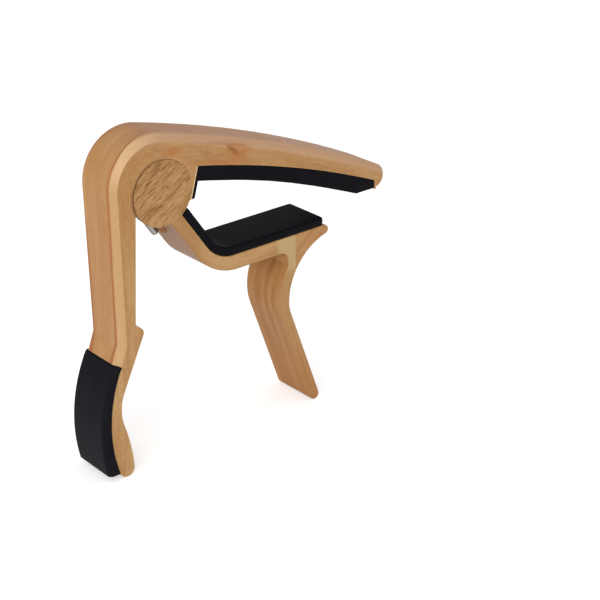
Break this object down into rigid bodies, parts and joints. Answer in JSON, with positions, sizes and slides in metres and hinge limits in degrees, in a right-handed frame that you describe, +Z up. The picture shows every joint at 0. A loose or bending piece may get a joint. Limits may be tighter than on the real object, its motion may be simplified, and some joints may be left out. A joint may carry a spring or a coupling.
{
  "type": "guitar capo",
  "caption": "Spring clamp for a guitar neck: an arched string arm with a rubber pad, a sprung jaw with a padded seat and a trigger, and a handle with a soft grip.",
  "frame": {"origin": "centre of the bounding box at the level of the two tips that the capo stands on", "axes": "+Z up, +X along the string arm from the handle to the nose, +Y across the width, away from the side that shows the trigger on the right"},
  "size_m": [0.0993, 0.0154, 0.0923],
  "materials": {
    "casting": "satin wood-grain film over a light alloy casting",
    "pad": "matt",
    "grip": "matt",
    "steel": "bright drawn wire and ground pin",
    "washer": "natural"
  },
  "bodies": {
    "frame": {"frame_arm": "casting", "handle_grip": "grip", "string_pad": "pad", "front_washer": "washer", "back_washer": "washer", "torsion_spring": "steel"},
    "jaw": {"trigger_jaw": "casting", "neck_pad": "pad", "pivot_pin": "steel", "front_cap": "casting", "back_cap": "casting"}
  },
  "joints": [
    {"name": "jaw_pivot", "type": "hinge", "parent": "frame", "child": "jaw", "pos_m": [-0.02685, 0, 0.0763], "axis": [0, 1, 0], "range_deg": [0, 40], "stiffness_Nm_per_rad": 0.8, "springref_deg": -34.38, "deforming": ["torsion_spring"]}
  ]
}
